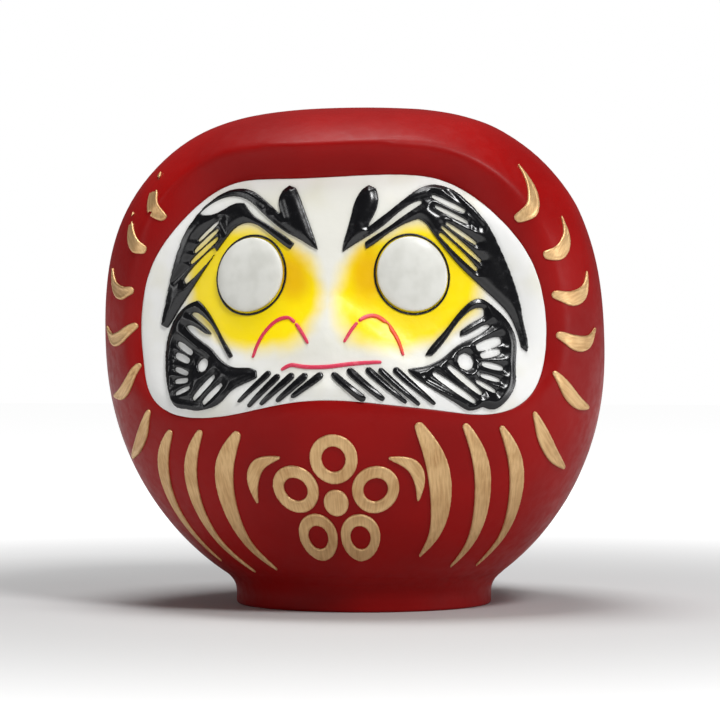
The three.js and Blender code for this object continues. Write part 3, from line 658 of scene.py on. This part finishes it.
class Ground:
    """Finished surface that other pieces lie on."""

    def __init__(self, piece: bpy.types.Object, node: str) -> None:
        """Keeps the object, and sorts its faces and its CAD node's for quick searches."""
        self.piece = piece
        self._tree = self._sorted(piece.data)
        self._plain = self._sorted(bpy.data.objects[node].data)

    @staticmethod
    def _sorted(mesh: bpy.types.Mesh) -> BVHTree:
        """Sorts a mesh's faces by place."""
        corners = [vertex.co for vertex in mesh.vertices]
        return BVHTree.FromPolygons(corners, [face.vertices for face in mesh.polygons])

    def clearance(self, place: Vector) -> float:
        """Distance from a place to the CAD node's own surface."""
        return self._plain.find_nearest(place)[3]

    def nearest(self, place: Vector) -> tuple[Vector, Vector]:
        """Finds the surface's nearest point to a place.

        Args:
            place: Where to start from.

        Returns:
            The nearest point and the surface's normal there.
        """
        spot, normal, _, _ = self._tree.find_nearest(place)
        return spot, normal


# ============================================================================ body
@dataclass
class Shell:
    """The moulded body with its visor and the recess that holds the face."""

    levels: int = 2
    edge_angle: float = 50
    edge_crease: float = 0.55

    def build(self, lacquer: bpy.types.Material) -> bpy.types.Object:
        """Makes the lacquered shell.

        Args:
            lacquer: Its paint.

        Returns:
            The finished piece.
        """
        piece = Bench.copy_of("body_shell", "red_shell")
        Bench.crease(piece, self.edge_angle, self.edge_crease)
        Bench.modify(piece, "SUBSURF", levels=self.levels, render_levels=self.levels)
        Bench.smooth(piece)
        return Bench.hand_in(piece, lacquer, "red_lacquer", ["body_shell"])


@dataclass
class Foot:
    """Shallow cup that the doll stands on, faired into the body with a fillet of paste."""

    segments: int = 96
    radius: float = 39 * MM
    edge: float = 0.9 * MM
    wall_top: float = 3.6 * MM
    fillet: Sequence[tuple[float, float]] = (
        (39.2, 5.2), (39.6, 6.4), (40.3, 7.6), (41.3, 8.7), (42.5, 9.7), (43.7, 10.5),
    )
    inside: Sequence[tuple[float, float]] = (
        (42.4, 10.1), (39.4, 7.85), (30.3, 7.65), (30.3, 2.5),
    )

    def _step(self, radius: float, height: float, was: tuple[float, float]) -> None:
        """Extrudes the selected top to a new radius and height.

        Args:
            radius: New radius.
            height: New height.
            was: Radius and height of the selected top.
        """
        bpy.ops.mesh.extrude_region_move(
            TRANSFORM_OT_translate={"value": (0, 0, height - was[1])},
        )
        share = radius / was[0]
        bpy.ops.transform.resize(value=(share, share, 1), center_override=(0, 0, height))

    def build(self, lacquer: bpy.types.Material, shell: bpy.types.Object) -> bpy.types.Object:
        """Makes the foot.

        Args:
            lacquer: Its paint.
            shell: Body that the fillet meets.

        Returns:
            The finished piece.
        """
        bpy.ops.object.select_all(action="DESELECT")
        bpy.ops.mesh.primitive_cylinder_add(
            vertices=self.segments,
            radius=self.radius,
            depth=self.wall_top,
            location=(0, 0, self.wall_top / 2),
        )
        piece = bpy.context.active_object
        piece.name = piece.data.name = "foot"
        bpy.ops.object.transform_apply(location=True, rotation=True, scale=True)
        with Bench.editing(piece):
            Bench.choose(piece, lambda face: face.normal.z < -0.5)
            bpy.ops.mesh.bevel(offset=self.edge, segments=4, affect="EDGES")
            Bench.choose(piece, lambda face: face.normal.z > 0.5)
            was = (self.radius, self.wall_top)
            for radius, height in [*self.fillet, *self.inside]:
                self._step(radius * MM, height * MM, was)
                was = (radius * MM, height * MM)
        brim = max(height for _, height in self.fillet) * MM
        Bench.group(piece, "brim", lambda place: abs(place.z - brim) < MERGE_DISTANCE)
        Bench.modify(
            piece,
            "SHRINKWRAP",
            target=shell,
            vertex_group="brim",
            wrap_method="NEAREST_SURFACEPOINT",
            wrap_mode="ABOVE_SURFACE",
            offset=-0.02 * MM,
        )
        Bench.smooth(piece, 45)
        return Bench.hand_in(piece, lacquer, "red_lacquer", ["foot_cup"])


@dataclass
class ClayWeight:
    """Lump of clay inside the foot; the frame's own solid, painted."""

    def dress(self, clay: bpy.types.Material) -> None:
        """Paints the frame's solid.

        Args:
            clay: Its paint.
        """
        weight = bpy.data.objects["clay_weight"]
        weight.data.materials.clear()
        weight.data.materials.append(clay)
        log.info("clay_weight keeps its own solid")


# ============================================================================ face
@dataclass
class FaceCoat:
    """White coat that lines the recess."""

    levels: int = 2
    edge_angle: float = 50
    edge_crease: float = 0.5
    seam: float = 0.5 * MM

    def build(self, white: bpy.types.Material, bed: Ground) -> bpy.types.Object:
        """Makes the coat and seats it on its bed.

        Args:
            white: Its paint.
            bed: The plain shell under it, as in the frame.

        Returns:
            The finished piece.
        """
        piece = Bench.copy_of("face_coat", "white_face")

        def near(place: Vector) -> bool:
            """Whether a point is a seam's width from the bed."""
            spot, _ = bed.nearest(place)
            return (spot - place).length < self.seam

        Bench.group(piece, "underside", near)
        Bench.modify(
            piece,
            "SHRINKWRAP",
            target=bed.piece,
            vertex_group="underside",
            wrap_method="NEAREST_SURFACEPOINT",
            wrap_mode="ON_SURFACE",
        )
        Bench.crease(piece, self.edge_angle, self.edge_crease)
        Bench.modify(piece, "SUBSURF", levels=self.levels, render_levels=self.levels)
        Bench.smooth(piece)
        return Bench.hand_in(piece, white, "face_white", ["face_coat"])


@dataclass
class Eyes:
    """The two blank white eye domes."""

    levels: int = 2
    gap: float = 0.7 * MM
    sink: float = 0.3 * MM

    def build(self, white: bpy.types.Material, ground: Ground) -> None:
        """Makes both domes on the face.

        Args:
            white: Their paint.
            ground: The coat they stand on.
        """
        for side in ("left", "right"):
            piece = Bench.copy_of(f"eye_{side}", f"eye_dome_{side}")
            Strokes.sort_sides(piece, ground, self.gap)
            Strokes.lay(piece, ground, "underside", -self.sink)
            Bench.modify(piece, "SUBSURF", levels=self.levels, render_levels=self.levels)
            Bench.smooth(piece, 60)
            Bench.hand_in(piece, white, "eye_white", [f"eye_{side}"])


# ============================================================================ relief
class Crown(Enum):
    """How the top of a stroke stands."""

    PILLOW = "pillow"
    LIPPED = "lipped"


@dataclass
class Strokes:
    """Thick brush strokes of one paint that lie on the same ground."""

    slot: str
    suffix: str
    nodes: Sequence[str]
    crown: Crown
    gap: float = 0.58 * MM
    sink: float = 0.35 * MM
    voxel: float = 0.28 * MM
    levels: int = 2
    first_rounds: int = 2
    rounds: int = 5
    level_from: float = 0.3
    level_to: float = 0.8
    thickness: float = 0.7 * MM
    swell: float = 0.75 * MM
    reach: float = 1.5 * MM
    lip_height: float = 0.16 * MM
    lip_inset: float = 0.55 * MM
    lip_width: float = 0.35 * MM
    edge_angle: float = 40

    @staticmethod
    def sort_sides(piece: bpy.types.Object, ground: Ground, gap: float) -> None:
        """Groups a piece's points into its underside and its topside.

        Args:
            piece: Piece that lies a glue line above the ground.
            ground: Surface under it.
            gap: The underside is closer to the ground than this.
        """
        Bench.group(piece, "underside", lambda place: ground.clearance(place) < gap)
        Bench.group(piece, "topside", lambda place: ground.clearance(place) >= gap)

    @staticmethod
    def lay(piece: bpy.types.Object, ground: Ground, side: str, lift: float) -> None:
        """Lays one side of a piece evenly over the ground.

        Args:
            piece: Piece with its sides grouped.
            ground: Surface under it.
            side: Vertex group of the side.
            lift: Height over the ground; a negative one sinks the side in.
        """
        Bench.modify(
            piece,
            "SHRINKWRAP",
            target=ground.piece,
            vertex_group=side,
            wrap_method="NEAREST_SURFACEPOINT",
            wrap_mode="ABOVE_SURFACE",
            offset=lift,
        )

    def _outline(self, piece: bpy.types.Object, ground: Ground) -> KDTree:
        """Points along the piece's upper edge, to measure from.

        Args:
            piece: Piece with a flat top and steep sides.
            ground: Surface under it.

        Returns:
            The points, sorted for quick searches.
        """
        mesh = piece.data
        corners: dict[tuple[int, int], list[Vector]] = {}
        for face in mesh.polygons:
            for edge in face.edge_keys:
                corners.setdefault(edge, []).append(face.normal)
        points = []
        limit = math.cos(math.radians(self.edge_angle))
        for (start, end), normals in corners.items():
            if len(normals) == 2 and normals[0].dot(normals[1]) < limit:
                first, second = mesh.vertices[start].co, mesh.vertices[end].co
                _, normal = ground.nearest((first + second) / 2)
                if max(side.dot(normal) for side in normals) > FACING_UP:
                    count = max(1, round((second - first).length / EDGE_POINT_SPACING))
                    points += [first.lerp(second, step / count) for step in range(count)]
        tree = KDTree(len(points))
        for index, point in enumerate(points):
            tree.insert(point, index)
        tree.balance()
        return tree

    def _raise_crown(self, piece: bpy.types.Object, ground: Ground, outline: KDTree) -> None:
        """Lays the top evenly over the ground, swollen in the middle or lipped at its edges.

        Args:
            piece: Piece with an even, fine mesh.
            ground: Surface under it.
            outline: Points along its upper edge.
        """
        vertices = piece.data.vertices
        count = len(vertices)
        places, facings = np.empty(count * 3), np.empty(count * 3)
        vertices.foreach_get("co", places)
        vertices.foreach_get("normal", facings)
        places, facings = places.reshape(-1, 3), facings.reshape(-1, 3)
        for place, facing in zip(places, facings):
            spot, normal = ground.nearest(place)
            slope = (float(facing @ normal) - self.level_from) / (self.level_to - self.level_from)
            upward = min(1.0, max(0.0, slope))
            if upward == 0:
                continue
            _, _, inset = outline.find(place)
            if self.crown is Crown.PILLOW:
                lift = self.swell * (1 - math.exp(-((inset / self.reach) ** 2)))
            else:
                lift = self.lip_height * math.exp(
                    -(((inset - self.lip_inset) / self.lip_width) ** 2)
                )
            crown = spot + normal * (self.thickness + lift)
            place += (np.array(crown) - place) * upward
        vertices.foreach_set("co", places.ravel())
        piece.data.update()

    @staticmethod
    def _comb(piece: bpy.types.Object) -> None:
        """Stores each point's place along and across the stroke, for the bristle marks."""
        count = len(piece.data.vertices)
        places = np.empty(count * 3)
        piece.data.vertices.foreach_get("co", places)
        places = places.reshape(-1, 3)
        centred = places - places.mean(axis=0)
        _, _, directions = np.linalg.svd(centred, full_matrices=False)
        signs = np.sign(directions[np.arange(3), np.abs(directions).argmax(axis=1)])
        brush = centred @ (directions * signs[:, None]).T + places.mean(axis=0)
        layer = piece.data.attributes.new("brush", "FLOAT_VECTOR", "POINT")
        layer.data.foreach_set("vector", brush.ravel())

    def build(self, material: bpy.types.Material, ground: Ground) -> None:
        """Makes every stroke.

        Args:
            material: Their paint.
            ground: Surface that they lie on.
        """
        for node in self.nodes:
            piece = Bench.copy_of(node, f"{node}_{self.suffix}")
            self.sort_sides(piece, ground, self.gap)
            Bench.crease(piece, self.edge_angle, 1)
            Bench.modify(piece, "SUBSURF", levels=self.levels, render_levels=self.levels)
            self.lay(piece, ground, "underside", -self.sink)
            self.lay(piece, ground, "topside", self.thickness)
            outline = self._outline(piece, ground)
            Bench.modify(piece, "REMESH", mode="VOXEL", voxel_size=self.voxel)
            Bench.modify(piece, "SMOOTH", factor=0.5, iterations=self.first_rounds)
            self._raise_crown(piece, ground, outline)
            Bench.modify(piece, "SMOOTH", factor=0.5, iterations=self.rounds)
            self._comb(piece)
            Bench.smooth(piece, 180)
            Bench.hand_in(piece, material, self.slot, [node])


# ============================================================================ studio
@dataclass
class Softbox:
    """One rectangular studio light."""

    name: str
    place: tuple[float, float, float]
    aim: tuple[float, float, float]
    size: tuple[float, float]
    power: float
    colour: Colour = (1, 1, 1)

    def build(self) -> None:
        """Hangs the light."""
        data = bpy.data.lights.new(self.name, "AREA")
        data.shape = "RECTANGLE"
        data.size, data.size_y = self.size
        data.energy = self.power
        data.color = self.colour
        lamp = bpy.data.objects.new(self.name, data)
        bpy.context.scene.collection.objects.link(lamp)
        lamp.location = self.place
        toward = Vector(self.aim) - Vector(self.place)
        lamp.rotation_euler = toward.to_track_quat("-Z", "Y").to_euler()


@dataclass
class Studio:
    """Camera, floor and lights."""

    azimuth: float = 9
    distance: float = 0.9
    eye_level: float = 74.3 * MM
    lens: float = 146.5
    sensor: float = 36
    shift: float = -4 / 720
    floor_size: float = 8
    sky: float = 0.12
    backdrop: float = 1.0
    lights: Sequence[Softbox] = field(default_factory=lambda: (
        Softbox("key_light", (0.5, -0.65, 0.85), (0, 0, 0.09), (0.25, 0.25), 7),
        Softbox("top_light", (-0.05, -0.05, 0.95), (0, 0, 0.1), (0.5, 0.35), 6.5),
        Softbox("side_light", (0.95, -0.1, 0.15), (0, 0, 0.07), (0.25, 0.5), 2.4),
        Softbox("left_light", (-0.9, -0.7, 0.35), (0, 0, 0.07), (0.3, 0.4), 1.2),
    ))

    def build(self, floor_paint: bpy.types.Material) -> None:
        """Sets up the studio.

        Args:
            floor_paint: The floor's paint.
        """
        turn = math.radians(self.azimuth)
        data = bpy.data.cameras.new("camera")
        data.lens = self.lens
        data.sensor_width = self.sensor
        data.shift_x = self.shift
        data.clip_start, data.clip_end = 0.05, 50
        camera = bpy.data.objects.new("camera", data)
        bpy.context.scene.collection.objects.link(camera)
        back = Vector((math.sin(turn), -math.cos(turn), 0))
        camera.location = back * self.distance + Vector((0, 0, self.eye_level))
        camera.rotation_euler = (-back).to_track_quat("-Z", "Y").to_euler()
        bpy.context.scene.camera = camera

        bpy.ops.object.select_all(action="DESELECT")
        bpy.ops.mesh.primitive_plane_add(size=self.floor_size, location=(0, 0, 0))
        floor = bpy.context.active_object
        floor.name = "floor"
        floor.data.materials.append(floor_paint)

        world = bpy.data.worlds.new("studio_air")
        board = PaintBoard(world)
        seen = board.add("ShaderNodeLightPath", {}, {}, out="Is Camera Ray")
        strength = self.sky + seen * (self.backdrop - self.sky)
        air = board.add(
            "ShaderNodeBackground", {}, {"Color": (1, 1, 1), "Strength": strength},
        )
        board.add("ShaderNodeOutputWorld", {}, {"Surface": air}, out=None)
        bpy.context.scene.world = world
        bpy.context.scene.view_settings.view_transform = "Standard"
        for light in self.lights:
            light.build()
        log.info("studio ready with %d lights", len(self.lights))


# ============================================================================ assembly
def numbered(stem: str, count: int) -> list[str]:
    """Names with a number from 1 at their end."""
    return [f"{stem}_{index}" for index in range(1, count + 1)]


def main() -> None:
    """Builds the doll and its studio."""
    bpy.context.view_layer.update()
    bpy.ops.object.select_all(action="DESELECT")
    Studio().build(FloorPaint().make())

    lacquer = RedLacquer().make()
    shell_bed = Bench.copy_of("body_shell", "bed")
    shell = Shell().build(lacquer)
    Foot().build(lacquer, shell)
    ClayWeight().dress(RawClay().make())
    coat = FaceCoat().build(FaceWhite().make(), Ground(shell_bed, "body_shell"))
    face = Ground(coat, "face_coat")
    bpy.data.objects.remove(shell_bed)
    Eyes().build(EyeWhite().make(), face)

    sides = ("left", "right")
    black = BlackRelief().make()
    patches = [f"{part}_{side}" for part in ("eyebrow", "cheek") for side in sides]
    hairs = [name for side in sides for name in numbered(f"beard_hair_{side}", 5)]
    rings = [f"eye_line_{side}" for side in sides]
    Strokes("black_gloss", "paint", patches + hairs, Crown.PILLOW).build(black, face)
    thin = {
        "gap": 0.7 * MM,
        "voxel": 0.18 * MM,
        "thickness": 0.35 * MM,
        "swell": 0.2 * MM,
        "reach": 0.5 * MM,
    }
    eye_lines = Strokes("black_gloss", "paint", rings, Crown.PILLOW, rounds=3, **thin)
    eye_lines.build(black, face)
    crimson = [f"nostril_line_{side}" for side in sides] + ["mouth_line"]
    lines = Strokes("crimson", "paint", crimson, Crown.PILLOW, rounds=4, **thin)
    lines.build(CrimsonLine().make(), face)

    stripes = [name for side in sides for name in numbered(f"gold_stripe_{side}", 9)]
    blossom = [*numbered("belly_petal", 5), "belly_heart"]
    leaves = [f"belly_leaf_{side}" for side in sides]
    ornaments = stripes + blossom + leaves
    gold = Strokes(
        "gold", "paint", ornaments, Crown.LIPPED, gap=0.75 * MM, thickness=0.45 * MM,
    )
    gold.build(GoldRelief().make(), Ground(shell, "body_shell"))


if __name__ == "__main__":
    logging.basicConfig(level=logging.INFO, format="%(message)s")
    main()
